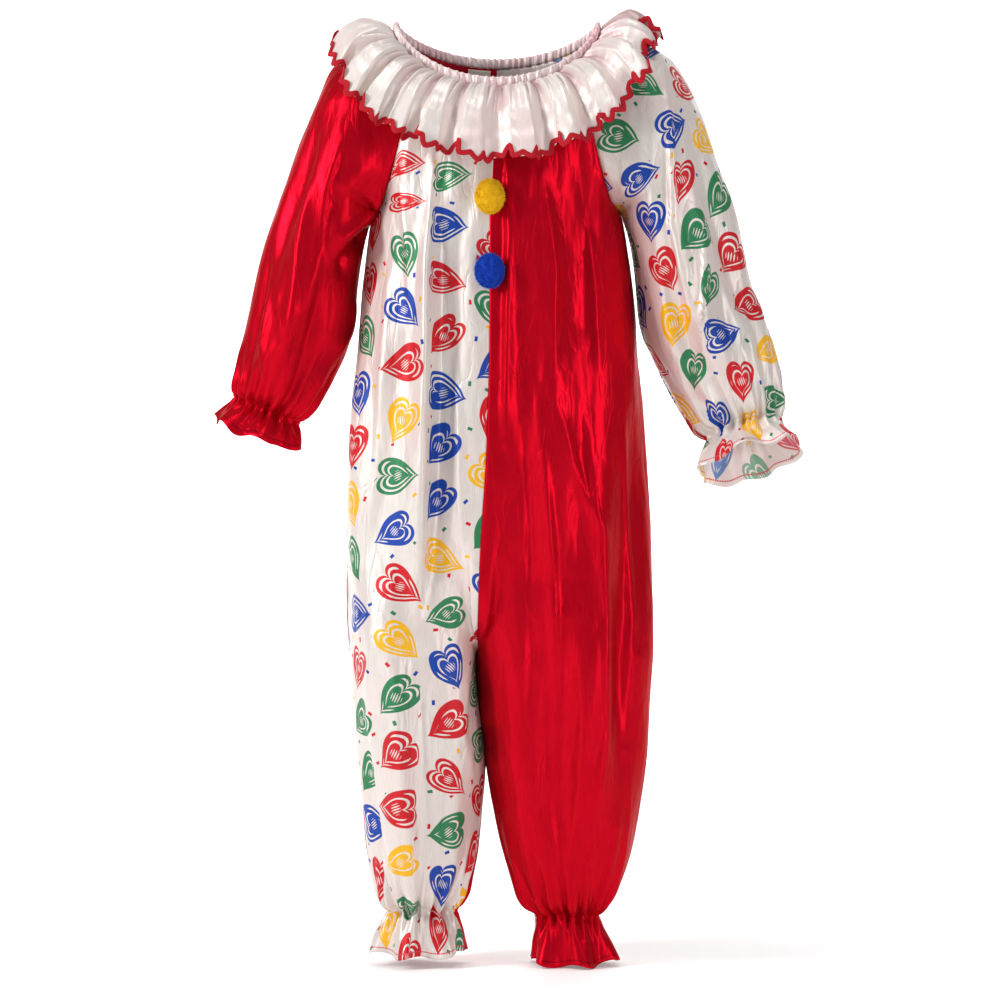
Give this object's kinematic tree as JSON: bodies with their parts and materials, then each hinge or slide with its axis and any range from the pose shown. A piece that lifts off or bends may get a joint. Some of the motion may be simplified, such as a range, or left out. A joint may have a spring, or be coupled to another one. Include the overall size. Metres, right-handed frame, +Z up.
{
  "type": "clown jumpsuit",
  "caption": "Child's harlequin clown jumpsuit, filled out as worn: raglan sleeves, elastic neck, wrists and ankles with flounces, gathered collar ruffle, pompoms.",
  "frame": {"origin": "centre of the neck opening, where the garment is held", "axes": "+Z up along the body; the garment's front faces -Y; +X is the wearer's left"},
  "size_m": [0.6249, 0.244, 1.0082],
  "materials": {
    "red_satin": "red polyester satin, soft sheen, small creases",
    "heart_print_satin": "white polyester satin printed with scattered hearts and confetti, soft sheen",
    "white_satin": "white polyester satin with faint pink bleed, soft sheen",
    "rickrack_braid": "red woven zigzag braid, matt",
    "label_tape": "blank cream woven tape",
    "yellow_fluff": "dense trimmed yarn pompom, matt",
    "blue_fluff": "dense trimmed yarn pompom, matt"
  },
  "bodies": {
    "root": {"front_right": "heart_print_satin", "front_left": "red_satin", "back_right": "red_satin", "back_left": "heart_print_satin", "sleeve_right": "red_satin", "sleeve_left": "heart_print_satin", "neck_casing": "white_satin", "collar_ruffle": "white_satin", "rickrack": "rickrack_braid", "neck_label": "label_tape", "pompom_yellow": "yellow_fluff", "pompom_blue": "blue_fluff"}
  },
  "joints": []
}
